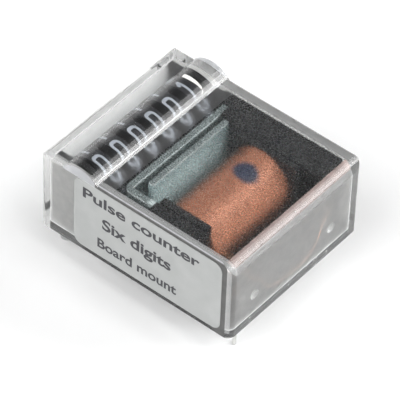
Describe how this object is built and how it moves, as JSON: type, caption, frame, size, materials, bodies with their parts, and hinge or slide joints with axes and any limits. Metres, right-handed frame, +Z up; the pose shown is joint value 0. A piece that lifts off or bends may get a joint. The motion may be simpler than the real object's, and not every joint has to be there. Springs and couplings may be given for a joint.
{
  "type": "electromechanical impulse counter",
  "caption": "Board-mounted electromechanical impulse counter in a clear housing, with number wheels under a bar lens, a coil, an armature and solder pins.",
  "frame": {"origin": "centre of the underside that lies on the board", "axes": "+X from the drum end to the coil end, along the label; +Y along the drum, from the label side to the far side, towards the units wheel; +Z up, through the lens"},
  "size_m": [0.03, 0.0249, 0.0181],
  "materials": {
    "clear_plastic": "clear polycarbonate, frosted inside",
    "smoke_plastic": "smoke grey, moulded",
    "black_plastic": "black, moulded",
    "wheel_plastic": "black, moulded, white digits printed on the rim",
    "label_film": "silver grey film",
    "steel": "bright ground",
    "zinc_steel": "bluish zinc plate",
    "tin": "tinned",
    "copper": "enamelled copper wire"
  },
  "bodies": {
    "housing": {"cover": "clear_plastic", "base_plate": "smoke_plastic", "chassis": "black_plastic", "label": "label_film", "wheel_axle": "steel", "pinion_axle": "steel", "axle_clips": "steel", "drum_washer": "steel", "bobbin": "black_plastic", "coil_winding": "copper", "core": "zinc_steel", "yoke": "zinc_steel", "pole_plate": "zinc_steel", "pivot_pin": "steel", "return_spring": "steel", "terminal_near": "tin", "terminal_far": "tin", "solder_near": "tin", "solder_far": "tin", "lead_near": "copper", "lead_far": "copper"},
    "units": {"wheel_units": "wheel_plastic", "escape_wheel": "wheel_plastic"},
    "tens": {"wheel_tens": "wheel_plastic"},
    "hundreds": {"wheel_hundreds": "wheel_plastic"},
    "thousands": {"wheel_thousands": "wheel_plastic"},
    "ten_thousands": {"wheel_ten_thousands": "wheel_plastic"},
    "hundred_thousands": {"wheel_hundred_thousands": "wheel_plastic"},
    "tens_pinion": {"pinion_tens": "wheel_plastic"},
    "hundreds_pinion": {"pinion_hundreds": "wheel_plastic"},
    "thousands_pinion": {"pinion_thousands": "wheel_plastic"},
    "ten_thousands_pinion": {"pinion_ten_thousands": "wheel_plastic"},
    "hundred_thousands_pinion": {"pinion_hundred_thousands": "wheel_plastic"},
    "armature": {"armature": "zinc_steel", "pallet_fork": "black_plastic"}
  },
  "joints": [
    {"name": "armature_pull", "type": "hinge", "parent": "housing", "child": "armature", "pos_m": [-0.00232, 0, 0.0025], "axis": [0, 1, 0], "range_deg": [0, 4], "stiffness_Nm_per_rad": 0.002, "springref_deg": -5.73, "deforming": ["return_spring"]},
    {"name": "units_spin", "type": "hinge", "parent": "housing", "child": "units", "pos_m": [-0.00865, 0, 0.00675], "axis": [0, 1, 0], "continuous": true},
    {"name": "tens_spin", "type": "hinge", "parent": "housing", "child": "tens", "pos_m": [-0.00865, 0, 0.00675], "axis": [0, 1, 0], "continuous": true},
    {"name": "hundreds_spin", "type": "hinge", "parent": "housing", "child": "hundreds", "pos_m": [-0.00865, 0, 0.00675], "axis": [0, 1, 0], "continuous": true},
    {"name": "thousands_spin", "type": "hinge", "parent": "housing", "child": "thousands", "pos_m": [-0.00865, 0, 0.00675], "axis": [0, 1, 0], "continuous": true},
    {"name": "ten_thousands_spin", "type": "hinge", "parent": "housing", "child": "ten_thousands", "pos_m": [-0.00865, 0, 0.00675], "axis": [0, 1, 0], "continuous": true},
    {"name": "hundred_thousands_spin", "type": "hinge", "parent": "housing", "child": "hundred_thousands", "pos_m": [-0.00865, 0, 0.00675], "axis": [0, 1, 0], "continuous": true},
    {"name": "tens_pinion_spin", "type": "hinge", "parent": "housing", "child": "tens_pinion", "pos_m": [-0.01205, 0, 0.00335], "axis": [0, 1, 0], "continuous": true},
    {"name": "hundreds_pinion_spin", "type": "hinge", "parent": "housing", "child": "hundreds_pinion", "pos_m": [-0.01205, 0, 0.00335], "axis": [0, 1, 0], "continuous": true},
    {"name": "thousands_pinion_spin", "type": "hinge", "parent": "housing", "child": "thousands_pinion", "pos_m": [-0.01205, 0, 0.00335], "axis": [0, 1, 0], "continuous": true},
    {"name": "ten_thousands_pinion_spin", "type": "hinge", "parent": "housing", "child": "ten_thousands_pinion", "pos_m": [-0.01205, 0, 0.00335], "axis": [0, 1, 0], "continuous": true},
    {"name": "hundred_thousands_pinion_spin", "type": "hinge", "parent": "housing", "child": "hundred_thousands_pinion", "pos_m": [-0.01205, 0, 0.00335], "axis": [0, 1, 0], "continuous": true}
  ],
  "couplings": [
    {"joint": "tens_spin", "follows": "units_spin", "ratio": 0.1},
    {"joint": "hundreds_spin", "follows": "units_spin", "ratio": 0.01},
    {"joint": "thousands_spin", "follows": "units_spin", "ratio": 0.001},
    {"joint": "ten_thousands_spin", "follows": "units_spin", "ratio": 0.0001},
    {"joint": "hundred_thousands_spin", "follows": "units_spin", "ratio": 0.00001},
    {"joint": "tens_pinion_spin", "follows": "units_spin", "ratio": -0.25},
    {"joint": "hundreds_pinion_spin", "follows": "units_spin", "ratio": -0.025},
    {"joint": "thousands_pinion_spin", "follows": "units_spin", "ratio": -0.0025},
    {"joint": "ten_thousands_pinion_spin", "follows": "units_spin", "ratio": -0.00025},
    {"joint": "hundred_thousands_pinion_spin", "follows": "units_spin", "ratio": -0.000025}
  ]
}
